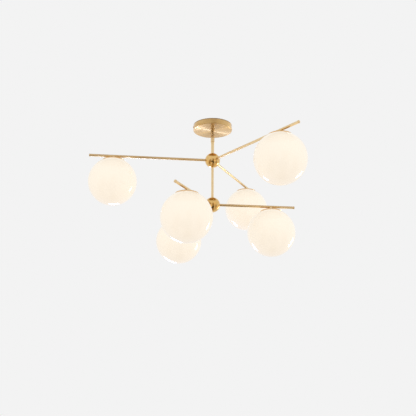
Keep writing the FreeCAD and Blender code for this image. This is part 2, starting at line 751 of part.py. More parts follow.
def make_collar(arm, tier):
    """Threaded ring soldered under a cap, onto which the globe's neck screws."""
    ball = "(globe_radius + cap_gap - fit)"
    inside = "(collar_radius - collar_wall)"
    end = "sqrt(globe_radius ^ 2 - mouth_radius ^ 2) - neck_depth - globe_drop"
    corners = (
        (inside, end),
        ("collar_radius", end),
        ("collar_radius", globe_level("collar_radius", ball)),
        (inside, globe_level(inside, ball)),
    )
    return place_on_light(turned("globe_collar", corners, {2: ("0", "-globe_drop", "left")}), arm, tier)


def make_cap_nut(arm, tier):
    nut = hex_nut("cap_nut", "cap_nut_across", "post_thread_radius + fit", "cap_nut_height")
    place_on_light(nut, arm, tier)
    nut.setExpression("Placement.Base.z", bound(f"-{tier}_hub_drop - {NUT_TOP}"))
    return nut


def make_socket(arm, tier):
    """Porcelain holder screwed onto the post, with a recess and a slot for the bulb's pins.

    All the holders face the same way, whatever the direction of their arm."""
    label = f"socket_{arm}"
    body = new_body(label)
    rod(body, "socket_radius", "-socket_top", "socket_end - socket_top", up=False)
    thread = new_sketch(body, "XY_Plane", "-socket_top")
    circle(thread, "post_thread_radius + fit")
    cut(body, thread, "socket_floor - socket_top")
    recess = new_sketch(body, "XY_Plane", "-socket_end")
    half_length, half_width = "recess_length / 2", "recess_width / 2"
    rectangle(recess, f"-{half_length}", f"-{half_width}", half_length, half_width)
    cut(body, recess, "recess_depth", along_normal=True)
    slot = new_sketch(body, "XY_Plane", f"-{RECESS_CEILING}")
    half_length, half_width = "contact_length / 2", "contact_width / 2"
    rectangle(slot, f"-{half_length}", f"-{half_width}", half_length, half_width)
    cut(body, slot, "contact_depth", along_normal=True)
    place_on_light(node(body, label), arm, tier, along_arm=False)


def make_arm_lead(arm, tier):
    """Twin lead from the hub's block along the arm, round into the post and down to the holder."""
    body = new_body("arm_lead")
    bend_start = f"({tier}_reach - lead_bend)"
    bend_level = "(lead_height - lead_bend)"
    route = new_sketch(body, "XZ_Plane")
    corners = (
        ("joint_block_flat", "lead_height"),
        (bend_start, "lead_height"),
        (f"{tier}_reach", bend_level),
        (f"{tier}_reach", "-socket_floor"),
    )
    chain(route, corners, {1: (bend_start, bend_level, "right")}, closed=False)
    section = new_sketch(body, "YZ_Plane", "joint_block_flat")
    twin_outline(section, "lead_height")
    pipe = body.newObject("PartDesign::AdditivePipe", "lead")
    pipe.Profile = section
    pipe.Spine = (route, ["Edge1", "Edge2", "Edge3"])
    return place_on_hub(body, arm, tier)


def make_bulb(arm, tier):
    """Frosted capsule bulb with a flat base and two pins."""
    label = f"bulb_{arm}"
    crown = "(bulb_radius - bulb_end)"
    corners = (
        ("0", "-bulb_top"),
        ("0", "-bulb_end"),
        ("bulb_radius", crown),
        ("bulb_radius", "bulb_shoulder - bulb_radius - bulb_top"),
        ("bulb_shoulder", "-bulb_top"),
    )
    body = turned(label, corners, {1: ("0", crown, "left")})
    base = new_sketch(body, "XY_Plane", "-bulb_top")
    half_length, half_width = "bulb_base_length / 2", "bulb_base_width / 2"
    rectangle(base, f"-{half_length}", f"-{half_width}", half_length, half_width)
    pad(body, base, "bulb_base_height")
    pins = new_sketch(body, "XY_Plane", "bulb_base_height - bulb_top")
    for side in ("", "-"):
        circle(pins, "bulb_pin_radius", f"{side}contact_spacing / 2")
    pad(body, pins, "bulb_pin_length")
    place_on_light(node(body, label), arm, tier, along_arm=False)


def make_globe(arm, tier):
    """Hollow opal glass ball whose neck turns inwards round the cap's collar."""
    label = f"globe_{arm}"
    inside = "(globe_radius - globe_wall)"
    neck = "(mouth_radius + globe_wall)"
    rim = "sqrt(globe_radius ^ 2 - mouth_radius ^ 2) - globe_drop"
    corners = (
        ("0", "-globe_radius - globe_drop"),
        ("mouth_radius", rim),
        ("mouth_radius", f"{rim} - neck_depth"),
        (neck, f"{rim} - neck_depth"),
        (neck, f"sqrt({inside} ^ 2 - {neck} ^ 2) - globe_drop"),
        ("0", f"-{inside} - globe_drop"),
    )
    arcs = {0: ("0", "-globe_drop", "left"), 4: ("0", "-globe_drop", "right")}
    place_on_light(node(turned(label, corners, arcs), label), arm, tier)


# ------------------------------------------------------------------ the whole light

make_crossbar()
make_canopy()
group("canopy_side_screws", [make_side_screw(turn) for turn in ("0", "180")])
make_earth_screw()
group("canopy_leads", [make_core(turn) for turn in ("0", "180")] + [make_earth_lead()])
group("wire_nuts", [make_wire_nut(side) for side in (1, -1)])

stand(make_knuckle("swivel_top", "fit"), z=f"-{PIN_LEVEL}")
make_swivel_washer()
locknut = hex_nut("swivel_locknut", "locknut_across", "nipple_radius + fit", "locknut_height")
node(locknut, "swivel_locknut")
stand(locknut, z="locknut_height + washer_gauge + canopy_wall - canopy_depth")
make_swivel_bottom()
make_pin()
past_the_pin = (f"-{STEM_TOP}", f"-{NIPPLE_TOP}")
group("swivel_leads", [make_straight_core(side, *past_the_pin) for side in (1, -1)])

make_coupler()
tube("upper_stem", "upper_stem_radius", "arm_seat - upper_hub_drop", f"-{STEM_TOP}")
tube("lower_stem", "lower_stem_radius", "arm_seat - lower_hub_drop", "2 * fit - hub_door_inner - upper_hub_drop")
make_hub("upper_hub", "upper", "upper_stem_radius", "left")
make_hub("lower_hub", "lower", "lower_stem_radius", "right")
make_hub_door("upper_hub_door", "upper", "lower_stem_radius + fit")
make_hub_door("lower_hub_door", "lower")
group("hub_joint_blocks", [make_joint_block(tier) for tier in ("upper", "lower")])
down_the_stem = ("joint_block_height / 2 - upper_hub_drop", f"-{STEM_TOP}")
stem_cores = [make_straight_core(side, *down_the_stem) for side in (1, -1)]
group("stem_leads", stem_cores + [make_lower_stem_lead()])

for name, tier, _ in ARMS:
    make_arm(name, tier)
    make_cap(name, tier)
    make_socket(name, tier)
    make_bulb(name, tier)
    make_globe(name, tier)
for level in ("upper", "lower"):
    group(f"{level}_arm_leads", [make_arm_lead(name, tier) for name, tier, _ in ARMS if tier == level])
group("arm_end_plugs", [make_arm_plug(name, tier) for name, tier, _ in ARMS])
group("cap_posts", [make_post(name, tier) for name, tier, _ in ARMS])
group("globe_collars", [make_collar(name, tier) for name, tier, _ in ARMS])
group("cap_nuts", [make_cap_nut(name, tier) for name, tier, _ in ARMS])

DOC.recompute()
for item in DOC.Objects:
    if "Invalid" in item.State or "Error" in item.State:
        raise RuntimeError(f"{item.Name} of {item.TypeId} did not build: {item.State}")
for piece in nodes:
    if piece.Shape.isNull() or not piece.Shape.isValid() or piece.Shape.Volume <= 0:
        raise RuntimeError(f"{piece.Label} has no sound shape")

os.makedirs("parts", exist_ok=True)
for piece in nodes:
    piece.Shape.exportStep(f"parts/{piece.Label}.step")
    print(f"{piece.Label}: {len(piece.Shape.Solids)} solids, {piece.Shape.Volume / 1000:.2f} cm3")
print(f"{len(nodes)} nodes")
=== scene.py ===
import math

import bmesh
import bpy
import numpy as np
from mathutils import Matrix, Vector


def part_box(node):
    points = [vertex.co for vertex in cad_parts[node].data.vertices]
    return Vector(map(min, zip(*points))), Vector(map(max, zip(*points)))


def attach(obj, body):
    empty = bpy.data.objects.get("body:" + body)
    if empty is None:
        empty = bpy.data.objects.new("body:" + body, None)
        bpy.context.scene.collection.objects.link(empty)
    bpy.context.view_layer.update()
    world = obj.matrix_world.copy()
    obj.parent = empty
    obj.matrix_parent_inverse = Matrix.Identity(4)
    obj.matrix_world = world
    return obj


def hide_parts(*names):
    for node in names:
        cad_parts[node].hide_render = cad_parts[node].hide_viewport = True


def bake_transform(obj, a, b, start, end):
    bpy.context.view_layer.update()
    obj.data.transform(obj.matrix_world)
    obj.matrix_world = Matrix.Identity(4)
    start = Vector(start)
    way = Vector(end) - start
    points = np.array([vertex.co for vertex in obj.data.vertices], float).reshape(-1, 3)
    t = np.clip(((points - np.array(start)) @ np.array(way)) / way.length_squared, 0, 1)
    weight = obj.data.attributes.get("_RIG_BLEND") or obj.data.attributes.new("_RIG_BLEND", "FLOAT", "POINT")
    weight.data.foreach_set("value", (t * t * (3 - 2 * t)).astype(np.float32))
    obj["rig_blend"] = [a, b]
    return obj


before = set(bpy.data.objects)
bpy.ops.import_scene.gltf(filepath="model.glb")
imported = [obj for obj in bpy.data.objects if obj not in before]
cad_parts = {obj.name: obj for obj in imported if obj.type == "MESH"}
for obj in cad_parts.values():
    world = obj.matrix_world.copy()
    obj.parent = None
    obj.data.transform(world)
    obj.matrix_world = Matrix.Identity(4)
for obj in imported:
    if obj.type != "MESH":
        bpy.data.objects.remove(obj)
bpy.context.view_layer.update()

MM = 0.001


# ---------------------------------------------------------------- canopy
# A shallow dish spun from brass sheet and lacquered. Its flat underside is brushed in circles on
# the lathe, so it gleams in fans. Its edge is rolled over, and shade is painted on its wall at the ceiling.

CANOPY_WALL = 1.2 * MM
CANOPY_EDGE = 1.8 * MM
CANOPY_HOLE = 5.1 * MM
CANOPY_ROUNDS = (0.2 * MM, CANOPY_EDGE, 0.3 * MM, 0.3 * MM, 0.6 * MM, 0.2 * MM)
TURNED_CREASE = 38.0
SPUN_BRASS = (0.86, 0.655, 0.385)
DEEP_BRASS = (0.77, 0.53, 0.25)
DISH_BRASS = (0.80, 0.545, 0.225)
DISH_DEEP = (0.70, 0.435, 0.14)
# Painted shade: the colour the wall darkens to next to the ceiling, and how far down that reaches.
CEILING_PAINTED_SHADE = (0.26, 0.15, 0.05)
CEILING_PAINTED_SHADE_DEPTH = 4.0 * MM


def eased(corners, rounds, steps=6):
    """Outline through corners, each eased over its own length along both of its edges.

    At a corner the curve is (1-t)^2 A + 2t(1-t) corner + t^2 B for t from 0 to 1, where A and B
    are the points that far before and after it. A round of 0 leaves the corner sharp."""
    corner = np.asarray(corners, float)
    reach = np.broadcast_to(np.asarray(rounds, float), len(corner))[:, None]
    back = np.roll(corner, 1, axis=0) - corner
    ahead = np.roll(corner, -1, axis=0) - corner
    start = corner + back / np.linalg.norm(back, axis=1, keepdims=True) * reach
    stop = corner + ahead / np.linalg.norm(ahead, axis=1, keepdims=True) * reach
    t = np.linspace(0, 1, steps)[None, :, None]
    curve = (1 - t) ** 2 * start[:, None] + 2 * t * (1 - t) * corner[:, None] + t**2 * stop[:, None]
    path = curve.reshape(-1, 2)
    moved = np.linalg.norm(path - np.roll(path, 1, axis=0), axis=1) > 1e-5 * MM
    return path[moved]


def turned(outline, foot=(0, 0, 0), axis=(0, 0, 1), columns=96, ribs=0, rib_depth=0.0):
    """Surface of revolution: P(i, a) = foot + height_i axis + radius_i (cos a side + sin a other).

    The outline lists (radius, height) anticlockwise, from axis to axis or as a closed ring. The
    radius dips by rib_depth (1 - cos(ribs a)) / 2. UV holds a / 2 pi and the length along it."""
    radius, height = np.asarray(outline, float).T
    axis = np.asarray(axis, float)
    side = np.cross(axis, (0, 0, 1)) if abs(axis[2]) < 0.9 else np.array((1.0, 0, 0))
    side = side / np.linalg.norm(side)
    other = np.cross(axis, side)
    angle = np.arange(columns) * 2 * np.pi / columns
    spoke = np.cos(angle)[:, None] * side + np.sin(angle)[:, None] * other
    swing = np.maximum(radius[:, None] - rib_depth * (1 - np.cos(ribs * angle)) / 2, 0)
    points = np.asarray(foot, float) + height[:, None, None] * axis + swing[..., None] * spoke
    number = np.arange(points.size // 3).reshape(len(radius), columns)
    pole = radius < 1e-4 * MM
    number[pole] = number[pole][:, :1]
    step = np.linalg.norm(np.diff(np.column_stack((radius, height)), axis=0), axis=1)
    travel = np.concatenate(([0.0], np.cumsum(step)))
    rows = len(radius) - 1
    if not pole[0]:
        number = np.vstack((number, number[:1]))
        travel = np.append(travel, travel[-1] + math.dist(outline[-1], outline[0]))
        rows += 1
    here, after = np.arange(columns), (np.arange(columns) + 1) % columns
    low, high = number[:rows], number[1 : rows + 1]
    quads = np.stack((low[:, here], low[:, after], high[:, after], high[:, here]), -1).reshape(-1, 4)
    turn = np.stack((here, here + 1, here + 1, here), -1) / columns
    rise = np.stack((travel[:rows], travel[:rows], travel[1 : rows + 1], travel[1 : rows + 1]), -1)
    uv = np.empty((rows, columns, 4, 2))
    uv[..., 0] = turn[None]
    uv[..., 1] = rise[:, None]
    return points.reshape(-1, 3), quads, uv.reshape(-1, 4, 2)


def piece(name, surfaces, finish, body, slot, *nodes):
    """One smooth mesh of several surfaces, riding on a body in place of CAD nodes.

    A four-sided face that has closed up at a pole keeps its three different corners."""
    used, faces, laid, start = [], [], [], 0
    for points, quads, uv in surfaces:
        used.append(points)
        for first, second, keep in ((0, 1, (0, 2, 3)), (2, 3, (0, 1, 2))):
            closed = quads[:, first] == quads[:, second]
            faces += (quads[closed][:, keep] + start).tolist()
            laid.append(uv[closed][:, keep].reshape(-1, 2))
            quads, uv = quads[~closed], uv[~closed]
        faces += (quads + start).tolist()
        laid.append(uv.reshape(-1, 2))
        start += len(points)
    mesh = bpy.data.meshes.new(name)
    mesh.from_pydata(np.vstack(used).tolist(), [], faces)
    mesh.uv_layers.new(name="lie").data.foreach_set("uv", np.vstack(laid).ravel().astype(np.float32))
    skin = bmesh.new()
    skin.from_mesh(mesh)
    bmesh.ops.delete(skin, geom=[vertex for vertex in skin.verts if not vertex.link_faces], context="VERTS")
    skin.to_mesh(mesh)
    skin.free()
    mesh.shade_smooth()
    mesh.set_sharp_from_angle(angle=math.radians(TURNED_CREASE))
    made = bpy.data.objects.new(name, mesh)
    bpy.context.scene.collection.objects.link(made)
    return dress(made, finish, body, slot, *nodes)


def dress(made, finish, body, slot, *nodes):
    """Gives a piece its finish and a body if it has one, and hides its nodes. The slot is not used."""
    made.data.materials.clear()
    made.data.materials.append(finish)
    if body:
        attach(made, body)
    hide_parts(*nodes)
    return made


class Signal:
    """A value inside a finish, which can be added, scaled and compared like a number."""

    def __init__(self, finish, socket):
        self.finish, self.socket = finish, socket

    def maths(self, operation, *values):
        inputs = dict(enumerate(values))
        return self.finish.add("ShaderNodeMath", {"operation": operation}, inputs)

    def __add__(self, other):
        return self.maths("ADD", self, other)

    def __sub__(self, other):
        return self.maths("SUBTRACT", self, other)

    def __mul__(self, other):
        return self.maths("MULTIPLY", self, other)

    def __gt__(self, other):
        return self.maths("GREATER_THAN", self, other)

    __radd__, __rmul__ = __add__, __mul__


# Numbers of the sockets that the Mix node uses for colours.
MIX_SHARE, MIX_FIRST, MIX_SECOND, MIX_COLOUR = 0, 6, 7, 2


class Shading:
    """A node tree being made. add() puts in a node: its type, its settings and its inputs."""

    def __init__(self, tree):
        self.tree = tree

    def feed(self, socket, value):
        if isinstance(value, Signal):
            self.tree.links.new(value.socket, socket)
        else:
            socket.default_value = value

    def add(self, kind, settings=None, inputs=None, output=0):
        node = self.tree.nodes.new(kind)
        for key, value in (settings or {}).items():
            setattr(node, key, value)
        for key, value in (inputs or {}).items():
            self.feed(node.inputs[key], value)
        return Signal(self, node.outputs[output])

    def noise(self, place, scale, detail=3.0, roughness=0.5):
        inputs = {"Vector": place, "Scale": scale, "Detail": detail, "Roughness": roughness}
        return self.add("ShaderNodeTexNoise", None, inputs, "Fac")

    def span(self, value, low, high, to_low=0.0, to_high=1.0):
        """Value carried from the range low..high to to_low..to_high, and held there beyond it."""
        inputs = {"Value": value, "From Min": low, "From Max": high, "To Min": to_low, "To Max": to_high}
        return self.add("ShaderNodeMapRange", {"interpolation_type": "SMOOTHSTEP"}, inputs)

    def blend(self, share, first, second):
        """Colour carried from the first to the second as the share goes from 0 to 1."""
        first, second = ((*c, 1.0) if isinstance(c, tuple) else c for c in (first, second))
        inputs = {MIX_SHARE: share, MIX_FIRST: first, MIX_SECOND: second}
        return self.add("ShaderNodeMix", {"data_type": "RGBA"}, inputs, MIX_COLOUR)

    def vector(self, x, y, z):
        return self.add("ShaderNodeCombineXYZ", None, {"X": x, "Y": y, "Z": z})

    def along(self, vector, course):
        """How far a vector goes in the given direction."""
        settings = {"operation": "DOT_PRODUCT"}
        return self.add("ShaderNodeVectorMath", settings, {0: vector, 1: course}, "Value")

    def parts(self, vector):
        """The three components of a vector."""
        node = self.add("ShaderNodeSeparateXYZ", None, {0: vector}).socket.node
        return [Signal(self, socket) for socket in node.outputs]


class Finish(Shading):
    """A material, whose shader's sockets are named with underscores for spaces."""

    def __init__(self, name, **surface):
        self.material = bpy.data.materials.new(name)
        self.material.use_nodes = True
        super().__init__(self.material.node_tree)
        self.shader = next(n for n in self.tree.nodes if n.type == "BSDF_PRINCIPLED")
        self.set(**surface)

    def set(self, **surface):
        for key, value in surface.items():
            self.feed(self.shader.inputs[key.replace("_", " ")], value)

    def bump(self, height, depth, strength=1.0, over=None):
        inputs = {"Height": height, "Distance": depth, "Strength": strength}
        if over:
            inputs["Normal"] = over
        return self.add("ShaderNodeBump", None, inputs)

    def place(self):
        return self.add("ShaderNodeTexCoord", None, None, "Object")

    def lie(self):
        """Where a turned surface is: the cosine and sine of its turn, and its length in metres."""
        turn, travel, _ = self.parts(self.add("ShaderNodeUVMap", {"uv_map": "lie"}))
        angle = turn * (2 * math.pi)
        return angle.maths("COSINE", angle), angle.maths("SINE", angle), travel


STREAK_WIDTH = 0.18
SCORE_SHADE = 0.72
SCORE_DULLNESS = 0.14
HAIR_DEPTH = 0.03 * MM


def turned_brass(name, light, deep, rough, across, along, gloss, grain):
    """Lacquered brass on a turned surface, brushed in hair lines.

    The lines are noise on (cos a, sin a) * across and length * along: a large along draws them
    round the piece, and a large across draws them down its length. Wider streaks follow them."""
    finish = Finish(name, Metallic=1.0, Coat_Weight=gloss, Coat_Roughness=0.12, Coat_IOR=1.5)
    cosine, sine, travel = finish.lie()
    around, ahead = across * STREAK_WIDTH, along * STREAK_WIDTH
    lines = finish.noise(finish.vector(cosine * across, sine * across, travel * along), 1.0, 4.0, 0.65)
    streaks = finish.noise(finish.vector(cosine * around, sine * around, travel * ahead), 1.0, 2.0)
    cloud = finish.noise(finish.place(), 38.0, 3.0, 0.55)
    tone = finish.span(cloud * 0.6 + streaks * 0.4, 0.34, 0.66)
    scored = tuple(SCORE_SHADE * channel for channel in deep)
    smear = finish.span(finish.noise(finish.place(), 14.0, 4.0, 0.6), 0.35, 0.7, -0.03, 0.05)
    ground = finish.blend(tone, deep, light)
    colour = finish.blend(finish.span(lines, 0.35, 0.75, 0.0, 0.22), ground, scored)
    finish.set(
        Base_Color=colour,
        Roughness=lines * (SCORE_DULLNESS * grain) + smear + (rough - SCORE_DULLNESS / 2 * grain),
        Normal=finish.bump(lines, HAIR_DEPTH * grain, 0.6),
    )
    finish.colour = colour
    return finish


canopy_low, canopy_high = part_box("canopy")
canopy_radius, canopy_face = canopy_high.x, canopy_low.z
canopy_outline = eased(
    (
        (CANOPY_HOLE, canopy_face),
        (canopy_radius, canopy_face),
        (canopy_radius, 0),
        (canopy_radius - CANOPY_WALL, 0),
        (canopy_radius - CANOPY_WALL, canopy_face + CANOPY_WALL),
        (CANOPY_HOLE, canopy_face + CANOPY_WALL),
    ),
    CANOPY_ROUNDS,
)
spun = turned_brass(
    "spun_brass", DISH_BRASS, DISH_DEEP, rough=0.42, across=2.2, along=5200.0, gloss=0.9, grain=0.1
)
# Painted shade: the wall's colour goes dark within a few millimetres of the ceiling.
painted_ceiling_shade = spun.span(spun.parts(spun.place())[2], -CEILING_PAINTED_SHADE_DEPTH, 0.0)
spun.set(
    Base_Color=spun.blend(painted_ceiling_shade, spun.colour, CEILING_PAINTED_SHADE),
    Anisotropic=0.85,
    Anisotropic_Rotation=0.25,
)
dish = turned(canopy_outline, columns=192)
piece("canopy_dish", [dish], spun.material, "ceiling_mount", "brushed_brass", "canopy")


# ---------------------------------------------------------------- crossbar and its screws
# Strip of zinc-plated steel, slotted for the ceiling box, with tabs turned down for the canopy's
# two side screws. The screws are brass-plated, and the earth screw is zinc like the strip.

ZINC = (0.62, 0.63, 0.62)
ZINC_SHADE = (0.45, 0.46, 0.47)
MILLED_CREASE = 32.0
WELD_REACH = 0.001 * MM


def smoothed(node, finish, body, slot):
    """A copy of a CAD node with its corners welded, so that its round faces shade smoothly."""
    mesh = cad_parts[node].data.copy()
    mesh.name = f"{node}_dressed"
    for name in [a.name for a in mesh.attributes if a.name in ("custom_normal", "sharp_edge")]:
        mesh.attributes.remove(mesh.attributes[name])
    weld = bmesh.new()
    weld.from_mesh(mesh)
    bmesh.ops.remove_doubles(weld, verts=weld.verts, dist=WELD_REACH)
    weld.to_mesh(mesh)
    weld.free()
    mesh.shade_smooth()
    mesh.set_sharp_from_angle(angle=math.radians(MILLED_CREASE))
    made = bpy.data.objects.new(f"{node}_dressed", mesh)
    bpy.context.scene.collection.objects.link(made)
    dress(made, finish.material, body, slot, node)


def plated_steel(name, light, shade, rough):
    """Plated steel: a cellular spangle, fine grain and a few dull patches."""
    finish = Finish(name, Metallic=1.0)
    place = finish.place()
    cells = finish.add("ShaderNodeTexVoronoi", None, {"Vector": place, "Scale": 420.0}, "Distance")
    grain = finish.noise(place, 2600.0, 2.0)
    dull = finish.span(finish.noise(place, 60.0, 4.0), 0.4, 0.7)
    finish.set(
        Base_Color=finish.blend(finish.span(cells, 0.1, 0.8) * 0.5 + dull * 0.4, light, shade),
        Roughness=grain * 0.12 + dull * 0.12 + rough,
        Normal=finish.bump(grain, 0.02 * MM, 0.5),
    )
    return finish


zinc = plated_steel("zinc_plate", ZINC, ZINC_SHADE, rough=0.26)
smoothed("mounting_crossbar", zinc, "ceiling_mount", "zinc_steel")
smoothed("earth_screw", zinc, "ceiling_mount", "zinc_steel")
brass_plate = plated_steel("brass_plate", SPUN_BRASS, DEEP_BRASS, rough=0.2)
smoothed("canopy_side_screws", brass_plate, "ceiling_mount", "brushed_brass")


# ---------------------------------------------------------------- leads and wire connectors
# The line, neutral and earth cores above the swivel, each in its own colour of insulation, and
# the moulded connectors twisted over their ends. The nylon of the connectors is ribbed for grip.

WHITE_CORE = (0.82, 0.81, 0.77)
BLACK_CORE = (0.035, 0.034, 0.036)
EARTH_CORE = (0.07, 0.32, 0.12)
EARTH_SIDE = 3.5 * MM
DUST = (0.7, 0.68, 0.62)
CONNECTOR = (0.80, 0.34, 0.06)
CONNECTOR_SHADE = (0.70, 0.27, 0.04)
CONNECTOR_LENGTH = 17.0 * MM
CONNECTOR_SKIRT = 5.5 * MM
CONNECTOR_SHOULDER = 6.4 * MM
CONNECTOR_TIP = 3.4 * MM
CONNECTOR_WAIST = 0.86
CONNECTOR_RIBS = 12
RIB_DEPTH = 0.35 * MM


def insulation(name, colour=None):
    """Matt extruded insulation with dust on it.

    Without one colour, the core on the far side is white, the near one black and the earth green."""
    finish = Finish(name, Specular_IOR_Level=0.4)
    place = finish.place()
    x, y, _ = finish.parts(place)
    dust = finish.noise(place, 900.0, 3.0)
    if colour is None:
        colour = finish.blend(y > 0.0, BLACK_CORE, WHITE_CORE)
        colour = finish.blend(x > EARTH_SIDE, colour, EARTH_CORE)
    colour = finish.blend(finish.span(dust, 0.45, 0.75, 0.0, 0.18), colour, DUST)
    finish.set(Base_Color=colour, Roughness=dust * 0.2 + 0.38, Normal=finish.bump(dust, 0.02 * MM, 0.4))
    return finish


cores = insulation("core_insulation")
smoothed("canopy_leads", cores, "ceiling_mount", "core_insulation")
smoothed("stem_leads", cores, "frame", "core_insulation")

connector_low, connector_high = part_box("wire_nuts")
connector_radius = connector_high.x
connector_outline = eased(
    (
        (0, 0),
        (connector_radius, 0),
        (connector_radius, CONNECTOR_SKIRT),
        (connector_radius * CONNECTOR_WAIST, CONNECTOR_SHOULDER),
        (CONNECTOR_TIP, CONNECTOR_LENGTH),
        (0, CONNECTOR_LENGTH),
    ),
    (0, 0.3 * MM, 0.4 * MM, 0.4 * MM, 1.0 * MM, 0),
)
nylon = Finish("connector_nylon", Specular_IOR_Level=0.45)
nylon_grain = nylon.noise(nylon.place(), 700.0, 4.0)
nylon.set(
    Base_Color=nylon.blend(nylon.span(nylon_grain, 0.3, 0.7), CONNECTOR, CONNECTOR_SHADE),
    Roughness=nylon_grain * 0.2 + 0.34,
    Normal=nylon.bump(nylon_grain, 0.04 * MM, 0.4),
)
connectors = []
for side in (1, -1):
    mouth = (0, side * (connector_high.y - CONNECTOR_LENGTH), (connector_low.z + connector_high.z) / 2)
    connectors.append(
        turned(connector_outline, mouth, (0, side, 0), columns=96, ribs=CONNECTOR_RIBS, rib_depth=RIB_DEPTH)
    )
piece("wire_connectors", connectors, nylon.material, "ceiling_mount", "wire_nut_plastic", "wire_nuts")


# ---------------------------------------------------------------- hang-straight swivel
# Two brass knuckles, each half cut away, lapped on a blackened shouldered screw. The upper one's
# nipple is clamped in the canopy by a washer and a nut, and the lower one screws into the stem.

KNUCKLE_LIGHT = (0.97, 0.83, 0.58)
KNUCKLE_DEEP = (0.92, 0.74, 0.46)
BLACKED, BLACKED_DEEP = (0.055, 0.05, 0.045), (0.02, 0.02, 0.02)
CORE_RADIUS = 0.7 * MM
CORE_RINGS = 24
BEND_REACH = 5.0 * MM
CLAMPED_END = 1.0 * MM

knuckle_brass = Finish("knuckle_brass", Metallic=1.0, Coat_Weight=0.2, Coat_Roughness=0.15)
knuckle_place = knuckle_brass.place()
knuckle_x, knuckle_y, knuckle_z = knuckle_brass.parts(knuckle_place)
turning_lines = knuckle_brass.noise(
    knuckle_brass.vector(knuckle_x * 60.0, knuckle_y * 60.0, knuckle_z * 4200.0), 1.0, 3.0
)
knuckle_brass.set(
    Base_Color=knuckle_brass.blend(knuckle_brass.noise(knuckle_place, 120.0), KNUCKLE_DEEP, KNUCKLE_LIGHT),
    Roughness=turning_lines * 0.16 + 0.36,
    Normal=knuckle_brass.bump(turning_lines, HAIR_DEPTH, 0.5),
)
smoothed("swivel_top", knuckle_brass, "swivel", "brushed_brass")
smoothed("swivel_bottom", knuckle_brass, "frame", "brushed_brass")
smoothed("swivel_washer", zinc, "swivel", "zinc_steel")
smoothed("swivel_locknut", zinc, "swivel", "zinc_steel")
black_oxide = plated_steel("black_oxide", BLACKED, BLACKED_DEEP, rough=0.34)
smoothed("swivel_pin", black_oxide, "frame", "zinc_steel")

lead_low, lead_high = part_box("swivel_leads")
pin_low, pin_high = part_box("swivel_pin")
pin_level = (pin_low.z + pin_high.z) / 2


def straight_core(name, side, top, bottom, finish):
    """One core between two levels, in rings close enough to bend or twist. It has no body yet."""
    wall = np.column_stack((np.full(CORE_RINGS, CORE_RADIUS), np.linspace(0, top - bottom, CORE_RINGS)))
    core_outline = np.vstack(((0, 0), wall, (0, top - bottom)))
    core = turned(core_outline, (0, side * (lead_high.y - CORE_RADIUS), bottom), columns=20)
    return piece(name, [core], finish.material, None, "core_insulation", "swivel_leads")


clamp_level = lead_high.z - CLAMPED_END
bend_top, bend_foot = pin_level + BEND_REACH, pin_level - BEND_REACH
for side, tint, colour in ((1, "white", WHITE_CORE), (-1, "black", BLACK_CORE)):
    sleeve = insulation(f"{tint}_insulation", colour)
    twisting = straight_core(f"{tint}_core_in_nipple", side, lead_high.z, canopy_face, sleeve)
    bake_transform(twisting, "ceiling_mount", "swivel", start=(0, 0, clamp_level), end=(0, 0, canopy_face))
    bending = straight_core(f"{tint}_core_past_pin", side, canopy_face, lead_low.z, sleeve)
    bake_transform(bending, "swivel", "frame", start=(0, 0, bend_top), end=(0, 0, bend_foot))


# ---------------------------------------------------------------- stem
# Two lengths of drawn brass tube, 10 mm above the upper hub and 8 mm below it, brushed along
# their length, and the turned sleeve that joins the upper one to the swivel.

TUBE_WALL = 1.0 * MM
DRAWN_BRASS = (0.90, 0.71, 0.43)
DRAWN_DEEP = (0.85, 0.63, 0.33)
SLEEVE_BORE = 5.05 * MM

drawn = turned_brass(
    "drawn_brass", DRAWN_BRASS, DRAWN_DEEP, rough=0.31, across=26.0, along=14.0, gloss=0.05, grain=0.05
)
turned_trim = turned_brass(
    "turned_brass", SPUN_BRASS, DEEP_BRASS, rough=0.25, across=1.6, along=5200.0, gloss=0.25, grain=0.8
)


def tube_outline(radius, start, stop, ease=0.25 * MM):
    """Half section of a tube, its four edges eased."""
    inside = radius - TUBE_WALL
    return eased(((inside, start), (radius, start), (radius, stop), (inside, stop)), ease)


for stem in ("upper_stem", "lower_stem"):
    stem_low, stem_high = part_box(stem)
    stem_surface = turned(tube_outline(stem_high.x, stem_low.z, stem_high.z), columns=64)
    piece(f"{stem}_tube", [stem_surface], drawn.material, "frame", "brushed_brass", stem)

sleeve_low, sleeve_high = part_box("stem_coupler")
sleeve_outline = eased(
    (
        (SLEEVE_BORE, sleeve_low.z),
        (sleeve_high.x, sleeve_low.z),
        (sleeve_high.x, sleeve_high.z),
        (SLEEVE_BORE, sleeve_high.z),
    ),
    (0.1 * MM, 0.35 * MM, 0.35 * MM, 0.1 * MM),
)
sleeve_surface = turned(sleeve_outline, columns=72)
piece("stem_sleeve", [sleeve_surface], turned_trim.material, "frame", "brushed_brass", "stem_coupler")


# ---------------------------------------------------------------- ball hubs
# Two hollow brass balls, polished bright and lacquered. The stem enters on top, three tubes enter
# round the middle, and a screwed-in door underneath gives access to the joints of the leads.

HUB_RADIUS = 24.3 * MM
HUB_HOLLOW = 17.5 * MM
DOOR_RADIUS = 14.0 * MM
DOOR_INNER = 12.0 * MM
DOOR_GAP = 0.12 * MM
UPPER_STEM_HOLE, LOWER_STEM_HOLE = 5.05 * MM, 4.05 * MM
LIP_SETBACK = 0.4
DOOR_LIP, STEM_LIP = 0.25 * MM, 0.2 * MM
HUB_GOLD = (0.83, 0.55, 0.215)
HUB_DEEP = (0.73, 0.45, 0.14)
BLOCK_WHITE, BLOCK_SHADE = (0.86, 0.85, 0.80), (0.74, 0.72, 0.66)


def arc(radius, start, stop, steps, middle=0.0):
    """Points on a circle about (0, middle), between two angles in degrees up from level."""
    angle = np.radians(np.linspace(start, stop, steps))
    return np.column_stack((radius * np.cos(angle), middle + radius * np.sin(angle)))


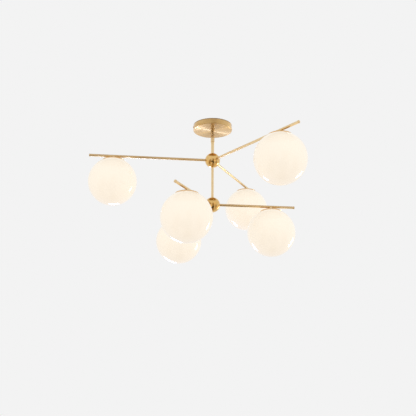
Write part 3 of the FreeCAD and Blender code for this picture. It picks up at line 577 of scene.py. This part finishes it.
polished = Finish("polished_brass", Metallic=1.0, Coat_Weight=0.35, Coat_Roughness=0.05)
hub_place = polished.place()
buffing = polished.noise(hub_place, 1500.0, 5.0, 0.7)
hub_cloud = polished.noise(hub_place, 70.0, 3.0, 0.6)
hub_dents = polished.noise(hub_place, 30.0, 2.0)
wipe_marks = polished.span(polished.noise(hub_place, 190.0, 5.0, 0.65), 0.45, 0.75)
polished.set(
    Base_Color=polished.blend(polished.span(hub_cloud, 0.3, 0.7), HUB_DEEP, HUB_GOLD),
    Roughness=buffing * 0.06 + wipe_marks * 0.07 + 0.07,
    Normal=polished.bump(hub_dents, 0.4 * MM, 0.25, polished.bump(buffing, 0.01 * MM, 0.3)),
)


def hub_surfaces(level, stem_hole, door_hole):
    """The ball as a shell open above and below, and the door that closes it from below."""
    top = math.degrees(math.acos(stem_hole / HUB_RADIUS))
    top_inside = math.degrees(math.acos(stem_hole / HUB_HOLLOW))
    bottom = -math.degrees(math.acos(DOOR_RADIUS / HUB_RADIUS))
    bottom_inside = -math.degrees(math.acos(DOOR_RADIUS / HUB_HOLLOW))
    shell = np.vstack((
        (DOOR_RADIUS, HUB_RADIUS * math.sin(math.radians(bottom)) + DOOR_LIP),
        arc(HUB_RADIUS, bottom + LIP_SETBACK, top - LIP_SETBACK, 72),
        (stem_hole, HUB_RADIUS * math.sin(math.radians(top)) - STEM_LIP),
        arc(HUB_HOLLOW, top_inside, bottom_inside, 40),
    ))
    rim = DOOR_RADIUS - DOOR_GAP
    rim_angle = -math.degrees(math.acos(rim / HUB_RADIUS))
    middle = -math.degrees(math.acos(door_hole / HUB_RADIUS))
    door = np.vstack((
        arc(HUB_RADIUS, middle, rim_angle - LIP_SETBACK, 24),
        (rim, HUB_RADIUS * math.sin(math.radians(rim_angle)) + DOOR_LIP),
        (rim, -DOOR_INNER),
        (door_hole, -DOOR_INNER),
    ))
    door[0, 0] = door_hole
    place = (0, 0, level)
    return turned(shell, place, columns=128), turned(door, place, columns=128)


hub_levels = {}
for tier, level_arm, stem_hole, door_hole in (
    ("upper", "arm_left", UPPER_STEM_HOLE, LOWER_STEM_HOLE),
    ("lower", "arm_right", LOWER_STEM_HOLE, 0.0),
):
    arm_low, arm_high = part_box(level_arm)
    hub_levels[tier] = (arm_low.z + arm_high.z) / 2
    ball, door = hub_surfaces(hub_levels[tier], stem_hole, door_hole)
    piece(f"{tier}_hub_ball", [ball], polished.material, "frame", "polished_brass", f"{tier}_hub")
    piece(f"{tier}_hub_lid", [door], polished.material, "frame", "polished_brass", f"{tier}_hub_door")

block_nylon = Finish("joint_block_nylon", Specular_IOR_Level=0.4)
block_grain = block_nylon.noise(block_nylon.place(), 500.0, 4.0)
block_nylon.set(
    Base_Color=block_nylon.blend(block_grain, BLOCK_WHITE, BLOCK_SHADE),
    Roughness=block_grain * 0.25 + 0.35,
    Normal=block_nylon.bump(block_grain, 0.03 * MM, 0.4),
)
smoothed("hub_joint_blocks", block_nylon, "frame", "joint_block_plastic")


# ---------------------------------------------------------------- arms
# Six 8 mm brass tubes, three long above and three short below, brushed along their length. Each
# passes over its light and ends in a small turned disc whose spigot is pressed into the tube.

ARMS = {
    "left": ("upper", 180),
    "near_right": ("upper", 300),
    "far_right": ("upper", 60),
    "right": ("lower", 0),
    "near_left": ("lower", 240),
    "far_left": ("lower", 120),
}
REACH = {"upper": 316.0 * MM, "lower": 188.0 * MM}
ARM_RADIUS = 4.0 * MM
ARM_START = 17.0 * MM
ARM_OVERHANG = 74.8 * MM
PLUG_RADIUS = 4.6 * MM
PLUG_DISC = 2.0 * MM
PLUG_SPIGOT = 8.0 * MM
SHEATH = (0.76, 0.66, 0.46)

light_place = {}
arm_course = {}
for arm, (tier, azimuth) in ARMS.items():
    arm_course[arm] = np.array((math.cos(math.radians(azimuth)), math.sin(math.radians(azimuth)), 0))
    light_place[arm] = arm_course[arm] * REACH[tier] + (0, 0, hub_levels[tier])

lead_sheath = insulation("lead_sheath", SHEATH)
for arm, (tier, _) in ARMS.items():
    centre = (0, 0, hub_levels[tier])
    arm_outline = tube_outline(ARM_RADIUS, ARM_START, REACH[tier] + ARM_OVERHANG)
    run = turned(arm_outline, centre, arm_course[arm], columns=64)
    piece(f"arm_{arm}_tube", [run], drawn.material, "frame", "brushed_brass", f"arm_{arm}")

for leads in ("upper_arm_leads", "lower_arm_leads"):
    smoothed(leads, lead_sheath, "frame", "lead_sheath")

plug_inside = ARM_RADIUS - TUBE_WALL - 0.05 * MM
plug_end = ARM_OVERHANG + PLUG_DISC
plug_outline = eased(
    (
        (0, -plug_end),
        (PLUG_RADIUS, -plug_end),
        (PLUG_RADIUS, -ARM_OVERHANG),
        (plug_inside, -ARM_OVERHANG),
        (plug_inside, PLUG_SPIGOT - ARM_OVERHANG),
        (0, PLUG_SPIGOT - ARM_OVERHANG),
    ),
    (0, 0.5 * MM, 0.25 * MM, 0.1 * MM, 0.3 * MM, 0),
)
plugs = [turned(plug_outline, light_place[arm], -arm_course[arm], columns=48) for arm in ARMS]
piece("arm_end_discs", plugs, turned_trim.material, "frame", "brushed_brass", "arm_end_plugs")


# ---------------------------------------------------------------- posts, caps and holders
# A short hollow post saddles each arm. Under it a spun brass cap hugs the globe's crown, clamped
# by a nut on the post's threaded tail. A threaded collar under the cap takes the globe's neck, and
# a glazed porcelain holder screws on below.

GLOBE_RADIUS = 76.0 * MM
GLOBE_DROP = 84.7 * MM
CAP_GAP = 0.3 * MM
CAP_GAUGE = 2.0 * MM
CAP_RADIUS = 34.0 * MM
CAP_ROLL = 2.2 * MM
CAP_HOLE = 4.1 * MM
COLLAR_RADIUS = 24.2 * MM
COLLAR_WALL = 1.5 * MM
COLLAR_DEPTH = 20.76 * MM
THREAD_PITCH = 2.2 * MM
THREAD_DEPTH = 0.35 * MM
GLAZE, IRON_SPECK = (0.86, 0.85, 0.81), (0.45, 0.38, 0.28)


def dome_angle(across, ball):
    """Angle up from level, in degrees, at which a ball is that far from its own axis."""
    return math.degrees(math.acos(across / ball))


def dome(ball, start, stop, steps):
    """Points on the upper half of a ball round the globe's middle, between two distances from its axis."""
    return arc(ball, dome_angle(start, ball), dome_angle(stop, ball), steps, -GLOBE_DROP)


cap_outer, cap_inner = GLOBE_RADIUS + CAP_GAP + CAP_GAUGE, GLOBE_RADIUS + CAP_GAP
rim_low = dome(cap_inner, CAP_RADIUS - CAP_ROLL, CAP_HOLE, 2)[0]
rim_high = dome(cap_outer, CAP_RADIUS, CAP_HOLE, 2)[0]
sweep = np.radians(np.linspace(8, 82, 7))[:, None]
rolled_rim = np.hstack((np.sin(sweep), 1 - np.cos(sweep))) * (rim_high - rim_low) + rim_low
cap_outline = np.vstack((
    dome(cap_inner, CAP_HOLE, CAP_RADIUS - CAP_ROLL, 30),
    rolled_rim,
    dome(cap_outer, CAP_RADIUS - 0.2 * MM, CAP_HOLE, 40),
))
spun_cap = turned_brass(
    "spun_cap_brass", SPUN_BRASS, DEEP_BRASS, rough=0.24, across=2.0, along=3600.0, gloss=0.3, grain=0.9
)
for arm in ARMS:
    cap = turned(cap_outline, light_place[arm], columns=144)
    piece(f"shade_cap_{arm}_dome", [cap], spun_cap.material, "frame", "brushed_brass", f"shade_cap_{arm}")

collar_top = cap_inner - 0.05 * MM
collar_inside = COLLAR_RADIUS - COLLAR_WALL
collar_edge = dome(collar_top, COLLAR_RADIUS, collar_inside, 2)[0, 1]
thread = np.linspace(0.3 * MM - COLLAR_DEPTH, collar_edge, 49)
crest = COLLAR_RADIUS - THREAD_DEPTH * (1 - np.cos((thread - collar_edge) * 2 * np.pi / THREAD_PITCH)) / 2
collar_outline = np.vstack((
    (collar_inside + 0.2 * MM, -COLLAR_DEPTH),
    (COLLAR_RADIUS - THREAD_DEPTH, -COLLAR_DEPTH),
    np.column_stack((crest, thread)),
    dome(collar_top, COLLAR_RADIUS - 0.3 * MM, collar_inside, 4),
    (collar_inside, -COLLAR_DEPTH + 0.2 * MM),
))
collars = [turned(collar_outline, light_place[arm]) for arm in ARMS]
piece("globe_collar_rings", collars, turned_trim.material, "frame", "brushed_brass", "globe_collars")
smoothed("cap_posts", knuckle_brass, "frame", "brushed_brass")
smoothed("cap_nuts", zinc, "frame", "zinc_steel")

porcelain = Finish("glazed_porcelain", Coat_Weight=0.5, Coat_Roughness=0.06)
glaze_place = porcelain.place()
specks = porcelain.span(porcelain.noise(glaze_place, 1400.0, 2.0), 0.66, 0.74)
pooling = porcelain.noise(glaze_place, 180.0, 3.0)
porcelain.set(
    Base_Color=porcelain.blend(specks * 0.35, GLAZE, IRON_SPECK),
    Roughness=pooling * 0.12 + 0.16,
    Normal=porcelain.bump(pooling, 0.12 * MM, 0.35),
)
for arm in ARMS:
    smoothed(f"socket_{arm}", porcelain, "frame", "porcelain")


# ---------------------------------------------------------------- bulbs
# Frosted capsule bulbs with a flat pinched base and two bright pins, pushed up into the holders.
# They glow inside the globes, whose own glow is painted on the glass.

FROST, FROST_SHADE = (0.90, 0.88, 0.83), (0.80, 0.77, 0.70)
BULB_LIGHT, BULB_LIGHT_SHADE = (1.0, 0.86, 0.66), (0.95, 0.78, 0.56)

frosted = Finish("frosted_capsule", Emission_Strength=0.8)
frost = frosted.noise(frosted.place(), 2400.0, 3.0)
frosted.set(
    Base_Color=frosted.blend(frost, FROST, FROST_SHADE),
    Emission_Color=frosted.blend(frost, BULB_LIGHT, BULB_LIGHT_SHADE),
    Roughness=frost * 0.15 + 0.45,
    Normal=frosted.bump(frost, 0.02 * MM, 0.5),
)
for arm in ARMS:
    smoothed(f"bulb_{arm}", frosted, f"{arm}_bulb", "bulb_glass")


# ---------------------------------------------------------------- globes
# Blown opal glass, white inside and clear outside, fire-polished, with a neck that turns inwards
# round the cap's collar. The bulbs' light through it is painted on the glass as an even cream glow,
# a little warmer towards its foot.

GLOBE_WALL = 3.0 * MM
MOUTH_RADIUS = 24.5 * MM
NECK_DEPTH = 8.0 * MM
OPAL = (0.50, 0.46, 0.40)
OPAL_WARM = (0.50, 0.44, 0.37)
GLOW = (1.0, 0.90, 0.755)
GLOW_WARM = (1.0, 0.87, 0.71)
GLOW_STRENGTH = 0.69
NO_LIGHT = (0.0, 0.0, 0.0)

globe_inner = GLOBE_RADIUS - GLOBE_WALL
neck_outer = MOUTH_RADIUS + GLOBE_WALL
rim_level = dome(GLOBE_RADIUS, MOUTH_RADIUS, 0, 2)[0, 1]
globe_outline = np.vstack((
    arc(GLOBE_RADIUS, -90, dome_angle(MOUTH_RADIUS + 1.2 * MM, GLOBE_RADIUS), 150, -GLOBE_DROP),
    (MOUTH_RADIUS + 0.55 * MM, rim_level - 0.12 * MM),
    (MOUTH_RADIUS + 0.12 * MM, rim_level - 0.55 * MM),
    (MOUTH_RADIUS, rim_level - 1.2 * MM),
    (MOUTH_RADIUS, rim_level - NECK_DEPTH + 0.8 * MM),
    (MOUTH_RADIUS + 0.25 * MM, rim_level - NECK_DEPTH + 0.2 * MM),
    (MOUTH_RADIUS + 0.8 * MM, rim_level - NECK_DEPTH),
    (neck_outer - 0.8 * MM, rim_level - NECK_DEPTH),
    (neck_outer - 0.2 * MM, rim_level - NECK_DEPTH + 0.3 * MM),
    arc(globe_inner, dome_angle(neck_outer, globe_inner), -90, 90, -GLOBE_DROP),
))
globe_outline[0, 0] = globe_outline[-1, 0] = 0.0

# Painted light: an emitted glow stands for the bulbs' light through the glass, less where seen edge-on.
opal = Finish("opal_glass", Emission_Strength=GLOW_STRENGTH, Specular_IOR_Level=0.35)
cosine, sine, travel = opal.lie()
foot = opal.span(travel, 0.0, 0.16, 1.0, 0.0)
wander = opal.noise(opal.place(), 9.0, 2.0)
warmth = foot * 0.7 + (wander - 0.5) * 0.5
ripple = opal.noise(opal.place(), 26.0, 2.0, 0.4)
held_back = opal.add("ShaderNodeFresnel", None, {"IOR": 1.5})
opal.set(
    Base_Color=opal.blend(warmth, OPAL, OPAL_WARM),
    Emission_Color=opal.blend(held_back, opal.blend(warmth, GLOW, GLOW_WARM), NO_LIGHT),
    Roughness=opal.span(opal.noise(opal.place(), 130.0, 4.0), 0.45, 0.8, 0.05, 0.10),
    Normal=opal.bump(ripple, 0.6 * MM, 0.12),
)
for arm in ARMS:
    glass = turned(globe_outline, light_place[arm], columns=160)
    piece(f"globe_{arm}_glass", [glass], opal.material, f"{arm}_globe", "opal_glass", f"globe_{arm}")


# ---------------------------------------------------------------- floor
# A plain pale floor, far below. For the camera it is lifted towards the tone of the surround, so
# that its far edge is faint. Nothing mirrors it.

FLOOR_HALF = 4.0
FLOOR_LEVEL = -2.1
FLOOR_LIFT = 0.42
PALE, PALE_SHADE = (0.80,) * 3, (0.77,) * 3

floor_mesh = bpy.data.meshes.new("studio_floor")
floor_corners = [
    (x * FLOOR_HALF, y * FLOOR_HALF, FLOOR_LEVEL) for x, y in ((-1, -1), (1, -1), (1, 1), (-1, 1))
]
floor_mesh.from_pydata(floor_corners, [], [(0, 1, 2, 3)])
floor = bpy.data.objects.new("studio_floor", floor_mesh)
bpy.context.scene.collection.objects.link(floor)
floor_paint = Finish("floor_paint", Roughness=0.9, Specular_IOR_Level=0.1)
floor_tone = floor_paint.blend(floor_paint.noise(floor_paint.place(), 3.0), PALE, PALE_SHADE)
floor_looks = floor_paint.add("ShaderNodeLightPath").socket.node.outputs
to_eye = Signal(floor_paint, floor_looks["Is Camera Ray"])
floor_paint.set(
    Base_Color=floor_tone,
    Emission_Color=floor_paint.blend(to_eye, NO_LIGHT, (FLOOR_LIFT,) * 3),
    Emission_Strength=1.0,
)
floor.data.materials.append(floor_paint.material)
floor.visible_glossy = False


# ---------------------------------------------------------------- surround
# A pale surround, at full strength where it is seen or mirrored and weaker as a fill. Warm unlit
# folds low in front, the same tone overhead and a dark flag show in reflections alone.

PAPER = 0.896
FILL_LIGHT = 0.55
WHITE = (1.0, 1.0, 1.0)
UNLIT_COURSE = (0.0, -0.62, -0.78)
UNLIT_TONE = (0.40, 0.24, 0.07)
FLAG_COURSE = (-0.1, -0.72, -0.69)
FLAG_TONE = (0.10, 0.08, 0.05)
FOLD_MIDDLE, FOLD_WIDTH = 0.08, 0.8

world = bpy.data.worlds.new("studio")
bpy.context.scene.world = world
world.use_nodes = True
surround = Shading(world.node_tree)
backdrop = next(n for n in surround.tree.nodes if n.type == "BACKGROUND")
looks = surround.add("ShaderNodeLightPath").socket.node.outputs
mirrored = Signal(surround, looks["Is Glossy Ray"])
direct = Signal(surround, looks["Is Camera Ray"])
through_glass = Signal(surround, looks["Is Transmission Ray"])
seen = (mirrored + direct + through_glass) > 0.5
course = surround.add("ShaderNodeTexCoord", None, None, "Generated")
sideways, _, overhead = surround.parts(course)
fold = (sideways - FOLD_MIDDLE) * (2 * math.pi / FOLD_WIDTH)
folds = fold.maths("COSINE", fold) * 0.4 + 0.6
unlit_low = surround.span(surround.along(course, UNLIT_COURSE), 0.2, 0.7) * folds
unlit_high = surround.span(overhead, 0.74, 0.93)
unlit = unlit_low.maths("MAXIMUM", unlit_low, unlit_high) * mirrored
flag = surround.span(surround.along(course, FLAG_COURSE), 0.86, 0.97) * mirrored
colour = surround.blend(flag, surround.blend(unlit, WHITE, UNLIT_TONE), FLAG_TONE)
surround.feed(backdrop.inputs["Color"], colour)
surround.feed(backdrop.inputs["Strength"], surround.span(seen, 0.0, 1.0, FILL_LIGHT, PAPER))


# ---------------------------------------------------------------- soft boxes
# A large lamp in front on the right and a weaker one on the left, neither of them mirrored, and two
# small ones low behind the light, which show as glints on the glass and the brass.

AIM_POINT = (0.0, 0.0, -0.22)


def soft_box(name, place, width, height, power, glints=True, tint=WHITE):
    """A rectangular lamp, turned to face the light and out of the picture. Only some are mirrored."""
    lamp = bpy.data.lights.new(name, "AREA")
    lamp.shape = "RECTANGLE"
    lamp.size, lamp.size_y = width, height
    lamp.energy, lamp.color = power, tint
    holder = bpy.data.objects.new(name, lamp)
    bpy.context.scene.collection.objects.link(holder)
    holder.location = place
    holder.rotation_euler = (Vector(AIM_POINT) - Vector(place)).to_track_quat("-Z", "Y").to_euler()
    holder.visible_camera = False
    holder.visible_glossy = glints


soft_box("key_box", (1.6, -1.8, 0.4), width=2.0, height=2.0, power=11.0, glints=False)
soft_box("side_box", (-2.1, -1.2, -0.4), width=1.6, height=1.6, power=7.0, glints=False)
soft_box("low_left_box", (-0.27, 0.95, -0.72), width=0.36, height=0.22, power=2.1, tint=(0.8, 0.98, 1.9))
soft_box("low_right_box", (1.2, 0.6, -0.64), width=0.3, height=0.44, power=3.6)


# ---------------------------------------------------------------- camera
# The camera that was fitted to the photograph: below the light, a little to the left of it, and
# looking up. Colours are shown as they are, with no film curve.

IMAGE_WIDTH = 416
FOCAL_PIXELS = 610.9
SENSOR = 36.0
CAMERA_PLACE = (-0.2245, -1.8491, -0.7935)
CAMERA_PITCH, CAMERA_YAW, CAMERA_ROLL = 15.402, 6.498, 0.308

lens = bpy.data.cameras.new("camera")
lens.sensor_width = SENSOR
lens.lens = FOCAL_PIXELS / IMAGE_WIDTH * SENSOR
camera = bpy.data.objects.new("camera", lens)
bpy.context.scene.collection.objects.link(camera)
yaw_turn = Matrix.Rotation(math.radians(-CAMERA_YAW), 4, "Z")
pitch_turn = Matrix.Rotation(math.radians(90 + CAMERA_PITCH), 4, "X")
roll_turn = Matrix.Rotation(math.radians(CAMERA_ROLL), 4, "Z")
camera.matrix_world = Matrix.Translation(CAMERA_PLACE) @ yaw_turn @ pitch_turn @ roll_turn
bpy.context.scene.camera = camera
bpy.context.scene.view_settings.view_transform = "Standard"
